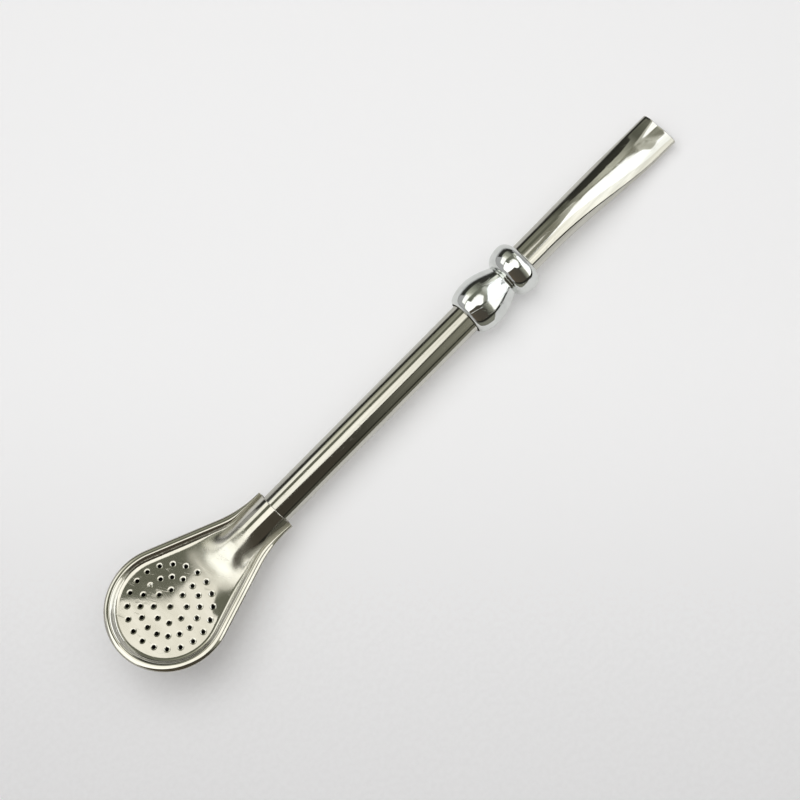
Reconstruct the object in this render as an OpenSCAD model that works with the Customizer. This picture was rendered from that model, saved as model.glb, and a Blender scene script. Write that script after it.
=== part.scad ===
// Bombilla: a metal straw for mate, lying on its back with the perforated face up.
// X runs along the tube towards the mouth, Z is up, and Z = 0 is the surface it lies on.
// The origin is the middle of the flat on the belly, straight below the middle of the bowl.

/* [Tube] */
// Outside diameter of the stem and of the mouthpiece tube
tube_d = 7; // [6:0.1:8]
// Wall of both tubes
tube_wall = 0.5; // [0.4:0.05:0.7]
// Length of stem that shows between the strainer's neck and the knop
stem_show = 55.8; // [40:0.2:90]
// Length of stem held inside the strainer's neck
neck_socket = 12; // [8:0.5:14]
// Clearance around everything that is pushed into a socket
fit = 0.03; // [0.01:0.01:0.06]

/* [Strainer head] */
// Width across the rolled rim
head_d = 26.1; // [24:0.1:29]
// Distance along the head from the mouth of its neck to the middle of the bowl
head_reach = 29.4; // [27:0.2:33]
// Angle by which the head is bent up from the tube
head_pitch = 10; // [8.5:0.5:11.5]
// Angle of the straight sides between the bowl and the neck
taper_angle = 20.5; // [18:0.5:22]
// Width across the flanges at the mouth of the neck
neck_w = 10.2; // [9.8:0.1:11.5]
// Length of the neck that stays parallel to the tube
neck_len = 8; // [6:0.5:10]
// Radius of the curve that eases the sides into the neck
neck_curve_r = 25; // [16:1:30]
// Thickness of the stamped sheet
sheet = 0.5; // [0.4:0.05:0.6]
// Width of the rolled rim, from its edge to the perforated plate
rim_w = 2.3; // [2.1:0.1:2.7]
// Depth of the perforated plate below the flange that the rim folds over
plate_recess = 0.4; // [0.25:0.05:0.6]
// Room between the step of the plate and the wall of the bowl
bowl_room = 0.15; // [0.1:0.05:0.3]
// Diameter of the flat on the belly
belly_flat_d = 7; // [5:0.5:8]

/* [Strainer holes] */
// Diameter of each hole
hole_d = 0.9; // [0.7:0.05:1.1]
// Radius of the inner ring of holes
ring_first = 3.35; // [3:0.05:3.6]
// Distance from each ring of holes to the next
ring_step = 2.68; // [2.4:0.02:2.8]
// Number of holes on the inner ring
inner_holes = 8; // [6:1:10]
// Number of holes on the middle ring
middle_holes = 16; // [12:1:18]
// Number of holes on the outer ring
outer_holes = 20; // [16:1:24]
// Distance of the pattern's middle from the bowl's, towards the neck
pattern_shift = 0.5; // [0:0.1:1]

/* [Knop] */
// Length of the knop
knop_len = 17.1; // [15:0.1:20]
// Diameter of the lip at the lower end
lip_d = 7.9; // [7.8:0.1:8.6]
// Largest diameter of the lower lobe
lower_lobe_d = 11.25; // [10:0.05:13]
// Distance from the lower end to the widest place of the lower lobe
lower_lobe_at = 4.5; // [3:0.1:6]
// Diameter of the waist between the lobes
waist_d = 7.4; // [7.2:0.1:8.4]
// Distance from the lower end to the waist
waist_at = 11.1; // [9:0.1:12]
// Largest diameter of the upper lobe, which also rests on the surface
upper_lobe_d = 11.6; // [11:0.1:12.4]
// Distance from the lower end to the widest place of the upper lobe
upper_lobe_at = 14.9; // [13.5:0.1:16]
// Length of the inner collar at the waist, which both tubes butt against
collar_len = 3; // [2:0.5:4]

/* [Mouthpiece] */
// Length of mouthpiece that shows above the knop
mouth_show = 41.1; // [30:0.1:60]
// Round length above the knop before the flare begins
flare_at = 5; // [2:0.5:10]
// Length of the flat lip at the end
lip_len = 5; // [3:0.5:8]
// Width of the flattened lip
mouth_w = 9; // [8:0.1:10]
// Thickness of the flattened lip
mouth_t = 3.2; // [2.4:0.1:4]
// Distance of the lip's middle below the middle of the tube
mouth_drop = 3.4; // [1:0.1:3.8]
// Squareness of the lip's section, where 2 is an oval
mouth_square = 3; // [2:0.25:4]

/* [Hidden] */
$fn = 96;

// Radii shared by what is pushed together
tube_r = tube_d / 2;
bore_r = tube_r - tube_wall;
socket_r = tube_r + fit;
neck_r = socket_r + sheet;

// Heights above the surface, and places along the tube
axis_h = upper_lobe_d / 2;
neck_x = head_reach * cos(head_pitch);
stem_x = neck_x - neck_socket;
knop_x = neck_x + stem_show;
collar_x = knop_x + waist_at - collar_len / 2;
collar_end_x = collar_x + collar_len;
knop_end_x = knop_x + knop_len;
flare_x = knop_end_x + flare_at;
mouth_x = knop_end_x + mouth_show;

// The bowl: a ball that the surface cuts to the flat, drawn out to the neck
head_r = head_d / 2;
bowl_r = head_r - rim_w + bowl_room + sheet;
bowl_h = sqrt(pow(bowl_r, 2) - pow(belly_flat_d / 2, 2));
drop_x = neck_x - neck_len;

// Levels in the plane of the head, measured from the middle of the folded seam
seam_under = -1.5 * sheet;
split = -0.5 * sheet;
flange_top = 0.5 * sheet;
seam_top = 1.5 * sheet;
plate_under = split - plate_recess;
plate_top = flange_top - plate_recess;
hem_ease = sheet / 2;
room = 2 * head_reach;

// Where the straight sides leave the bowl, and the middle of the curve that ends them
side_t = head_reach - head_r * sin(taper_angle);
side_y = head_r * cos(taper_angle);
curve_y = neck_w / 2 + neck_curve_r;
curve_t = side_t + ((curve_y - side_y) * cos(taper_angle) - neck_curve_r) / sin(taper_angle);
curve_end_t = curve_t + neck_curve_r * sin(taper_angle);
curve_end_y = curve_y - neck_curve_r * cos(taper_angle);

// Steps of the knop's curves and of the flattened mouthpiece
lobe_steps = 14;
flare_sides = 40;
flare_steps = 20;
seam_lap = 0.3;
seam_step = 0.01;

steel = [0.74, 0.73, 0.68];
plate_steel = [0.8, 0.79, 0.73];
chrome = [0.86, 0.88, 0.88];

// A round bar on the tube's axis between two places
module bar(r, from_x, to_x) {
  translate([from_x, 0, axis_h])
    rotate([0, 90, 0])
      cylinder(r = r, h = to_x - from_x);
}

// The plane of the head, with its origin at the mouth of the neck
module in_head() {
  translate([neck_x, 0, axis_h])
    rotate([0, head_pitch, 0])
      children();
}

// Outline of the head, drawn in from the edge of the rim
module outline(inset) {
  side_in_t = side_t + inset * sin(taper_angle);
  side_in_y = side_y - inset * cos(taper_angle);
  curve_in_t = curve_end_t + inset * sin(taper_angle);
  curve_in_y = curve_end_y - inset * cos(taper_angle);
  neck_in_y = neck_w / 2 - inset;
  half = [[0, neck_in_y], [-curve_t, neck_in_y], [-curve_in_t, curve_in_y],
          [-side_in_t, side_in_y], [-head_reach, 0]];
  intersection() {
    union() {
      translate([-head_reach, 0])
        circle(head_r - inset);
      difference() {
        union() {
          polygon(concat(half, [[0, 0]]));
          mirror([0, 1])
            polygon(concat(half, [[0, 0]]));
        }
        for (side = [-1, 1])
          translate([-curve_t, side * curve_y])
            circle(neck_curve_r + inset, $fn = 4 * $fn);
      }
    }
    translate([-room, -room / 2])
      square(room);
  }
}

// A band of sheet that follows the outline between two insets and two levels
module band(outer, inner, low, high) {
  translate([0, 0, low])
    linear_extrude(high - low)
      difference() {
        outline(outer);
        outline(inner);
      }
}

// All that lies above or below the seam between the two halves
module above_seam() {
  in_head()
    translate([-room, -room / 2, split])
      cube([2 * room, room, room]);
}

module below_seam() {
  in_head()
    translate([-room, -room / 2, split - room])
      cube([2 * room, room, room]);
}

// The bowl's ball drawn out to the round of the neck
module drop(inset) {
  big = bowl_r - inset;
  small = neck_r - inset;
  rise = bowl_h - axis_h;
  span = norm([drop_x, rise]);
  lean = asin((big - small) / span);
  translate([0, 0, bowl_h])
    rotate([0, atan2(drop_x, -rise), 0])
      rotate_extrude()
        intersection() {
          union() {
            circle(big);
            translate([0, span])
              circle(small);
            polygon([[0, 0], [big * cos(lean), big * sin(lean)],
                     [small * cos(lean), span + small * sin(lean)], [0, span]]);
          }
          translate([0, -big])
            square([big, span + 2 * big]);
        }
}

// Everything above a level
module above(level) {
  translate([-room, -room, level])
    cube(2 * room);
}

// The holes: one in the middle and three rings round it
module holes() {
  counts = [inner_holes, middle_holes, outer_holes];
  turns = [0, 0, 180 / outer_holes];
  in_head()
    translate([pattern_shift - head_reach, 0, plate_under - sheet]) {
      cylinder(d = hole_d, h = neck_r);
      for (ring = [0 : len(counts) - 1])
        for (k = [0 : counts[ring] - 1])
          rotate(turns[ring] + k * 360 / counts[ring])
            translate([ring_first + ring * ring_step, 0, 0])
              cylinder(d = hole_d, h = neck_r);
    }
}

// Front half: the perforated plate, its flange, and the upper half of the neck
module strainer_front() {
  color(plate_steel)
    difference() {
      union() {
        in_head() {
          translate([0, 0, plate_under])
            linear_extrude(sheet)
              outline(rim_w + fit);
          band(rim_w + fit, rim_w + fit + sheet, plate_under, flange_top);
          band(sheet + fit, rim_w + fit + sheet / 2, split, flange_top);
        }
        intersection() {
          bar(neck_r, 0, neck_x);
          above_seam();
        }
      }
      bar(socket_r, 0, neck_x + room);
      holes();
    }
}

// Back half: the bowl, the lower half of the neck, and the rim folded over the front half
module strainer_back() {
  color(steel)
    difference() {
      intersection() {
        union() {
          intersection() {
            union() {
              drop(0);
              bar(neck_r, drop_x, neck_x);
            }
            below_seam();
          }
          in_head() {
            band(0, rim_w, seam_under, split);
            band(0, sheet, split, flange_top);
            band(0, rim_w, flange_top, flange_top + hem_ease);
            band(hem_ease, rim_w - hem_ease, flange_top + hem_ease, seam_top);
          }
        }
        above(0);
      }
      intersection() {
        drop(sheet);
        above(sheet);
      }
      bar(socket_r, drop_x, neck_x + room);
      intersection() {
        bar(neck_r + fit, 0, neck_x + room);
        above_seam();
      }
    }
}

// Lower tube, from inside the strainer's neck to the collar in the knop
module stem_tube() {
  color(steel)
    difference() {
      bar(tube_r, stem_x, collar_x);
      bar(bore_r, stem_x - room, collar_x + room);
    }
}

// Outline of the knop: two swells with a pinched waist, along X from the lower end
function knop_curve() =
  let (lip_r = lip_d / 2)
  let (low_r = lower_lobe_d / 2)
  let (waist_r = waist_d / 2)
  let (up_r = upper_lobe_d / 2)
  let (steps = [for (k = [0 : lobe_steps]) 90 * k / lobe_steps])
  concat(
    [for (a = steps) [lower_lobe_at * (1 - cos(a)), lip_r + (low_r - lip_r) * sin(a)]],
    [for (a = steps) if (a > 0)
      [lower_lobe_at + (waist_at - lower_lobe_at) * a / 90, waist_r + (low_r - waist_r) * cos(a)]],
    [for (a = steps) if (a > 0)
      [upper_lobe_at - (upper_lobe_at - waist_at) * cos(a), waist_r + (up_r - waist_r) * sin(a)]],
    [for (a = steps) if (a > 0)
      [upper_lobe_at + (knop_len - upper_lobe_at) * sin(a), waist_r + (up_r - waist_r) * cos(a)]]
  );

// Cast knop that joins the tubes: each is pushed in until it meets the inner collar
module knop() {
  color(chrome)
    difference() {
      translate([knop_x, 0, axis_h])
        rotate([0, 90, 0])
          rotate_extrude()
            polygon(concat([for (p = knop_curve()) [p[1], p[0]]], [[0, knop_len], [0, 0]]));
      bar(bore_r, knop_x - room, knop_end_x + room);
      bar(socket_r, knop_x - room, collar_x);
      bar(socket_r, collar_end_x, knop_end_x + room);
    }
}

// One ring of the flattened mouthpiece, at a share of the way along the flare
function flare_ring(x, share, inset, shrink) =
  let (soft = share * share * (3 - 2 * share))
  let (half_w = tube_r + (mouth_w / 2 - tube_r) * soft - inset - shrink)
  let (half_t = tube_r + (mouth_t / 2 - tube_r) * soft - inset - shrink)
  let (power = 2 / (2 + (mouth_square - 2) * soft))
  let (middle = axis_h - mouth_drop * soft)
  [for (k = [0 : flare_sides - 1])
    let (c = cos(360 * k / flare_sides))
    let (s = sin(360 * k / flare_sides))
    [x, half_w * sign(c) * pow(abs(c), power), middle + half_t * sign(s) * pow(abs(s), power)]];

// A closed skin over rings of points that all have the same number of points
module skin(rings) {
  count = len(rings[0]);
  last = len(rings) - 1;
  sides = [for (r = [0 : last - 1]) for (k = [0 : count - 1])
    let (a = r * count + k)
    let (b = r * count + (k + 1) % count)
    each [[a, a + count, b], [b, a + count, b + count]]];
  near_end = [[for (k = [0 : count - 1]) k]];
  far_end = [[for (k = [0 : count - 1]) last * count + count - 1 - k]];
  polyhedron([for (r = rings) each r], concat(sides, near_end, far_end));
}

// The flared stretch, from the round tube to a little past the lip where it is cut away inside
module flare(inset, past) {
  flare_len = mouth_x - lip_len - flare_x;
  rings = concat(
    [flare_ring(flare_x - seam_lap, 0, inset, seam_step)],
    [for (k = [0 : flare_steps])
      flare_ring(flare_x + flare_len * k / flare_steps, k / flare_steps, inset, seam_step)],
    [flare_ring(mouth_x + past, 1, inset, seam_step)]
  );
  skin(rings);
}

// Upper tube, round in the knop and flattened into a lip at the mouth
module mouth_tube() {
  color(steel)
    difference() {
      union() {
        bar(tube_r, collar_end_x, flare_x);
        flare(0, 0);
      }
      bar(bore_r, collar_end_x - room, flare_x);
      flare(tube_wall, seam_lap);
    }
}

strainer_front();
strainer_back();
stem_tube();
knop();
mouth_tube();
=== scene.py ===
import math

import bmesh
import bpy
import numpy as np
from mathutils import Matrix, Vector
from mathutils.geometry import delaunay_2d_cdt
from mathutils.kdtree import KDTree


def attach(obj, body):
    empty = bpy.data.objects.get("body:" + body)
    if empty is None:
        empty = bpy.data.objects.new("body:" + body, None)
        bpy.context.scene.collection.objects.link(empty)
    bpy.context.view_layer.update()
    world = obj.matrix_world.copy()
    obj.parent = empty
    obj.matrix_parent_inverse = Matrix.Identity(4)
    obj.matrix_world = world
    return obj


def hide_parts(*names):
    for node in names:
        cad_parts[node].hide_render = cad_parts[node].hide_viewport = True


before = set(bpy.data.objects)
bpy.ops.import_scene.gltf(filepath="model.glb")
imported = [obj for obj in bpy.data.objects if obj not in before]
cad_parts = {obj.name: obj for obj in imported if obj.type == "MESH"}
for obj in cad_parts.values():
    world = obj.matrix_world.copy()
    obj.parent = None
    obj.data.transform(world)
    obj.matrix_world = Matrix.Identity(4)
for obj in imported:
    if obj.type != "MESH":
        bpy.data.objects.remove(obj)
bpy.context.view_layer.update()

mm = 0.001
tiny = 1e-6
weldGap = 2e-7  # in metres
print("frame loaded:", ", ".join(sorted(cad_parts)))


# small helpers, all lengths in mm until a mesh is made

def easeStep(x):
    x = np.clip(x, 0.0, 1.0)
    return x * x * (3.0 - 2.0 * x)


def softMax(a, b, k):
    h = np.maximum(k - np.abs(a - b), 0.0) / k
    return np.maximum(a, b) + h * h * k * 0.25


def softMin(a, b, k):
    return -softMax(-a, -b, k)


def makePiece(name, points, faces, node, sharpAngle=None, hidden=None):
    mesh = bpy.data.meshes.new(name)
    mesh.from_pydata([tuple(p) for p in np.asarray(points) * mm], [], faces)
    if hidden is not None:  # faces on the inside take the second finish, dark as painted shade
        mesh.polygons.foreach_set("material_index", [int(h) for h in hidden])
    work = bmesh.new()
    work.from_mesh(mesh)
    if sharpAngle is not None:  # welded skins, the others keep their point order
        bmesh.ops.remove_doubles(work, verts=work.verts, dist=weldGap)
        bmesh.ops.recalc_face_normals(work, faces=work.faces)
    work.to_mesh(mesh)
    work.free()
    mesh.polygons.foreach_set("use_smooth", [True] * len(mesh.polygons))
    if sharpAngle is not None:
        mesh.set_sharp_from_angle(angle=math.radians(sharpAngle))
    mesh.update()
    piece = bpy.data.objects.new(name, mesh)
    bpy.context.scene.collection.objects.link(piece)
    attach(piece, "root")
    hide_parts(node)
    print("made", name, len(mesh.vertices), "points")
    return piece


def setMask(piece, name, values):
    mask = piece.data.attributes.new(name, "FLOAT", "POINT")
    mask.data.foreach_set("value", np.asarray(values, np.float32))


def ringSkin(rings):
    # closed round each ring, and from the last ring back to the first
    rings = np.asarray(rings)
    rows, count = rings.shape[:2]
    faces = []
    for r in range(rows):
        low, high = r * count, (r + 1) % rows * count
        for k in range(count):
            after = (k + 1) % count
            faces.append((low + k, low + after, high + after, high + k))
    return rings.reshape(-1, 3), faces


tube = {
    "axisH": 5.8,        # height of the tube's middle above the surface
    "outerR": 3.5,
    "wall": 0.5,
    "endEase": 0.12,     # broken edge at the cut ends
    "endRound": 0.3,
    "sides": 144,
}


def turnedPiece(name, profile, node, sharpAngle, sides, innerFrom=None):
    angles = np.linspace(0.0, 2.0 * np.pi, sides, endpoint=False)
    across, up = np.sin(angles), np.cos(angles)
    rings = [np.stack([np.full(sides, x), r * across, tube["axisH"] + r * up], -1) for x, r in profile]
    points, faces = ringSkin(rings)
    hidden = None if innerFrom is None else [k // sides >= innerFrom for k in range(len(faces))]
    return makePiece(name, points, faces, node, sharpAngle, hidden)


# the strainer head, drawn in its own tilted plane: t runs from the mouth of the neck to the tip

head = {
    "pitch": math.radians(10.0),
    "reach": 29.4,       # neck mouth to bowl middle
    "rimR": 13.045,
    "taper": math.radians(20.5),
    "tipTurn": 1.93,     # taper and a quarter turn, for the count of stations
    "neckHalf": 5.1,
    "neckCurve": 25.0,
    "neckLen": 8.0,
    "neckR": 4.03,
    "sheet": 0.5,
    "bowlR": 11.4,
    "bowlH": 10.849,
}
headCos, headSin, headTan = (f(head["pitch"]) for f in (math.cos, math.sin, math.tan))
taperCos, taperSin, taperTan = (f(head["taper"]) for f in (math.cos, math.sin, math.tan))
neckX = head["reach"] * headCos
sideT = head["reach"] - head["rimR"] * taperSin
sideY = head["rimR"] * taperCos
curveY = head["neckHalf"] + head["neckCurve"]
curveT = sideT + ((curveY - sideY) * taperCos - head["neckCurve"]) / taperSin
curveEndT = curveT + head["neckCurve"] * taperSin
curveEndY = curveY - head["neckCurve"] * taperCos


def headToFrame(t, y, z):
    return np.stack([neckX - t * headCos + z * headSin, y + 0.0 * t,
                     tube["axisH"] + t * headSin + z * headCos], -1)


def rimStations(step):
    # one half of the outline from the neck to the tip: t, y and the lean of its outward normal
    flat = np.linspace(0.0, curveT, max(3, int(curveT / step) + 2))[:-1]
    lean = np.linspace(0.0, head["taper"], int(head["neckCurve"] * head["taper"] / step) + 2)[:-1]
    run = np.linspace(0.0, 1.0, int((sideT - curveEndT) / taperCos / step) + 2)[:-1]
    turn = np.linspace(head["taper"], -math.pi / 2, int(head["rimR"] * head["tipTurn"] / step) + 2)
    t = np.concatenate([flat, curveT + head["neckCurve"] * np.sin(lean),
                        curveEndT + (sideT - curveEndT) * run,
                        head["reach"] - head["rimR"] * np.sin(turn)])
    y = np.concatenate([0 * flat + head["neckHalf"], curveY - head["neckCurve"] * np.cos(lean),
                        curveEndY + (sideY - curveEndY) * run, head["rimR"] * np.cos(turn)])
    a = np.concatenate([0 * flat, lean, 0 * run + head["taper"], turn])
    return t, y, a


def insetAt(t, y):
    # distance in from the rim's edge at any place on the head
    y = np.abs(y)
    bowl = head["rimR"] - np.hypot(t - head["reach"], y)
    side = (sideY - y) * taperCos + (t - sideT) * taperSin
    curve = np.hypot(t - curveT, curveY - y) - head["neckCurve"]
    return np.where(t >= head["reach"] - y * taperTan, bowl,
                    np.where(t >= curveEndT + curveEndY * taperTan - y * taperTan, side,
                             np.where(t >= curveT, curve, head["neckHalf"] - y)))


hem = {
    "crest": 1.15,       # its highest line, measured in from the edge
    "half": 0.7,         # half its height: three sheets folded together
    "square": 2.2,       # roundness of the outer side, where 2 is an oval
    "seamTop": 0.25,     # height where the fold ends on the face
    "seamTries": 4000,
    "neckGap": 0.16,
    "openSpace": 9.0,    # room beside it where no hump stands
    "squeeze": 0.5,
    "fall": ((1.15, 0.0), (1.8, 1.0), (2.05, 1.0), (2.35, 0.27), (3.0, 0.0)),  # inset, steepness
    "plateTop": -0.15,
}


def fallAt(d):
    total = 0.0 * d
    for (d0, m0), (d1, m1) in zip(hem["fall"], hem["fall"][1:]):
        s = np.clip(d - d0, 0.0, d1 - d0)
        total = total + m0 * s + 0.5 * (m1 - m0) / (d1 - d0) * s * s
    return total


fallScale = (hem["half"] - hem["plateTop"]) / fallAt(np.array(hem["fall"][-1][0]))


def rimHeight(d):
    # from the hem's crest down to the sunk plate
    return hem["half"] - fallScale * fallAt(d)


seamSteps = np.linspace(hem["crest"], hem["fall"][-1][0], hem["seamTries"])
seamInset = float(seamSteps[np.argmin(np.abs(rimHeight(seamSteps) - hem["seamTop"]))])


def hemWidth(t, y, a):
    beside = (y - footY(t)) / np.cos(a) - hem["neckGap"]
    space = np.where(t < head["reach"] / 2, beside, hem["openSpace"])
    return softMin(0 * t + seamInset, space, hem["squeeze"])


# perforated face

face = {
    "flangeTop": 0.24,
    "valley": 0.017,     # hollow between hump and rim on the near side, fading toward the tip
    "valleyWide": 6.6,
    "valleyRim": 2.0,
    "valleyFrom": 18.0,
    "valleyTo": 31.0,
    "flankTurn": math.radians(65.0),  # the flank leaves the round here and runs on straight
    "blendNeck": 1.0,    # softness of the hump's foot, at the neck and out on the plate
    "blendPlate": 1.6,
    "blendFrom": 4.0,
    "blendTo": 14.0,
    "rampFrom": 11.0,    # past the end of the tube the hump runs down to the plate
    "rampLen": 8.6,
    "moundFrom": 7.2,    # and spreads from the round of the tube into a low mound
    "moundTo": 14.2,
    "moundFlat": 1.0,
    "moundHalf": 5.2,
    "moundGrow": 0.35,
    "grid": 0.42,
    "holeR": 0.45,
    "rings": ((0.0, 1, 0.0), (3.35, 8, 0.0), (6.03, 16, 0.0), (8.71, 20, 9.0)),
    "patternT": 28.9,
    "dimpleR": 0.74,
    "dimpleDepth": 0.03,
    "holeSides": 28,
    "breakR": 0.63,
    "breakEnd": 0.95,
    "shutHole": (2, 4),  # ring and number of the hole that was struck but not opened
    "endEase": 0.1,
    "footLines": (-0.2, -0.13, -0.08, -0.04, 0.0, 0.04, 0.09, 0.16),
    "footLen": 13.0,
    "footFrom": 0.25,
    "footStep": 0.22,
    "footRoom": 0.06,
    "tuckFoot": 0.4,     # widths of the dull creases at the foot and along the hem, darkened there as painted shade
    "tuckSeam": 0.13,
    "tuckFrom": 8.0,
    "tuckFade": 5.0,
    "drawnFrom": 5.8,    # reach of the satin patch on the ramp
    "drawnRise": 4.5,
    "drawnTo": 16.5,
    "drawnFade": 5.0,
    "drawnHalf": 4.2,
    "drawnSide": 3.5,
    "dimpleUp": (1.6, 31.0, 12.0),    # more depth toward the neck: gain, from, over
    "dimpleNear": (1.3, -2.0, 5.0),   # and toward the near side
    "shutDeep": 0.12,
    "shutEase": 0.2,
    "shutRings": (0.36, 0.27, 0.18, 0.09),
    "holeRings": (0.51, 0.58, 0.66, 0.75, 0.84, 0.93),
    "holeRoom": 0.02,
    "holeClear": 0.97,   # share of a hole's round that stays open
    "tearRoom": 0.01,
    "rimStep": 0.4,
    "edgeLeast": 0.55,   # the sheet ends this far in from the rim, or under the fold
    "underFold": 0.9,
    "edgeRoom": 0.08,
    "endRoom": 0.01,
    "endSteps": (0.025, 0.05, 0.075, 0.1),
    "humpLines": 45,
    "humpFrom": 0.3,
    "humpOver": 0.4,
    "stepRings": (1.6, 3.4, 0.1),
    "ringRoom": 0.01,
    "gridY": (-12.6, 12.7),
    "gridT": (0.2, 42.0),
    "rowShare": 0.866,
    "crowdT": 0.02,
    "crowdY": 0.004,
    "loopRoom": 0.012,
    "slopeStep": 0.004,
    "play": 0.02,        # kept clear of the back shell
}


def holePlaces():
    places = []
    for ring, (r, count, turn) in enumerate(face["rings"]):
        for k in range(count):
            a = math.radians(turn + 360.0 * k / count)
            shut = (ring, k) == face["shutHole"]
            places.append((face["patternT"] - r * math.cos(a), r * math.sin(a), shut))
    return places


holes = holePlaces()
flankY = head["neckR"] * math.sin(face["flankTurn"])
flankTop = head["neckR"] * math.cos(face["flankTurn"])
flankTan = math.tan(face["flankTurn"])


def neckTop(y):
    # half section of the neck, its flanks drawn straight down to the flange
    y = np.abs(y)
    crown = np.sqrt(np.maximum(head["neckR"] ** 2 - np.minimum(y, flankY) ** 2, 0.0))
    return crown - np.maximum(y - flankY, 0.0) * flankTan


def footY(t):
    # where the hump's flank meets the flange
    need = (face["flangeTop"] + t * headTan) * headCos
    onRound = np.sqrt(np.maximum(head["neckR"] ** 2 - need ** 2, 0.0))
    return np.where(need > flankTop, onRound, flankY + (flankTop - need) / flankTan)


def faceHeight(t, y):
    inset = insetAt(t, y)
    base = np.minimum(face["flangeTop"], rimHeight(inset))
    hollow = 1.0 - easeStep((t - face["valleyFrom"]) / (face["valleyTo"] - face["valleyFrom"]))
    width = face["valleyWide"] - np.maximum(inset, face["valleyRim"])
    near = np.where(y < 0, np.maximum(width, 0.0), 0.0)
    base = np.minimum(face["flangeTop"], base + 0.5 * face["valley"] * hollow * near ** 2)
    top = neckTop(y)
    endGap = np.clip(t - np.maximum(top, 0.0) * headSin, 0.0, face["endEase"])
    ease = face["endEase"] * (1.0 - endGap / face["endEase"]) ** 2
    hump = top / headCos - t * headTan - ease
    share = easeStep((t - face["blendFrom"]) / (face["blendTo"] - face["blendFrom"]))
    blend = face["blendNeck"] + (face["blendPlate"] - face["blendNeck"]) * share
    rise = softMax(base, hump, blend) - base
    peak = np.maximum(head["neckR"] / headCos - t * headTan - hem["plateTop"], 0.0)
    half = face["moundHalf"] + face["moundGrow"] * np.maximum(t - face["rampFrom"], 0.0)
    mound = peak * (1.0 - easeStep((np.abs(y) - face["moundFlat"]) / (half - face["moundFlat"])))
    spread = easeStep((t - face["moundFrom"]) / (face["moundTo"] - face["moundFrom"]))
    down = 1.0 - easeStep((t - face["rampFrom"]) / face["rampLen"])
    return base + (rise + (mound - rise) * spread) * down


def dullShadedCreaseMask(t, y):
    # 1 in the crease at the hump's foot and along the hem, where no polishing wheel reaches: duller there,
    # and darker as painted shade
    along = 1.0 - easeStep((t - face["tuckFrom"]) / face["tuckFade"])
    foot = np.exp(-((np.abs(y) - footY(t)) / face["tuckFoot"]) ** 2) * along
    seam = np.exp(-((insetAt(t, y) - seamInset) / face["tuckSeam"]) ** 2)
    return np.maximum(foot, seam)


def drawnMask(t, y):
    # 1 on the ramp past the tube's end, where the sheet is stretched and turns satin
    rise = easeStep((t - face["drawnFrom"]) / face["drawnRise"])
    along = rise * (1.0 - easeStep((t - face["drawnTo"]) / face["drawnFade"]))
    return along * (1.0 - easeStep((np.abs(y) - face["drawnHalf"]) / face["drawnSide"]))


def dimpleSink(t, y):
    sink = np.zeros_like(t)
    wide, hole, up, near = (face[part] for part in ("dimpleR", "holeR", "dimpleUp", "dimpleNear"))
    for ht, hy, shut in holes:
        r = np.hypot(t - ht, y - hy)
        edge = np.clip((wide - np.maximum(r, hole)) / (wide - hole), 0, 1)
        more = up[0] * easeStep((up[1] - ht) / up[2]) + near[0] * easeStep((near[1] - hy) / near[2])
        sink += face["dimpleDepth"] * (1.0 + more) * edge ** 2
        if shut:
            sink += face["shutDeep"] * easeStep((hole - r) / face["shutEase"])
    return sink


def breakOut(t, y):
    # the punch tears the underside wider than the top
    t, y = t.copy(), y.copy()
    top, wide, end = face["holeR"], face["breakR"], face["breakEnd"]
    for ht, hy, shut in holes:
        r = np.hypot(t - ht, y - hy)
        near = (r < end) & (r > top - face["tearRoom"]) & (not shut)
        grow = (wide + (r[near] - top) * (end - wide) / (end - top)) / r[near]
        t[near], y[near] = ht + (t[near] - ht) * grow, hy + (y[near] - hy) * grow
    return t, y


def faceEdge():
    # stations along the rim, and how far in from them the sheet ends under the fold
    t, y, a = rimStations(face["rimStep"])
    return t, y, a, np.maximum(face["edgeLeast"], hemWidth(t, y, a) - face["underFold"])


def ringAround(ht, hy, r, turns):
    return [(-(ht + r * math.cos(s)), hy + r * math.sin(s)) for s in turns]


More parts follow.
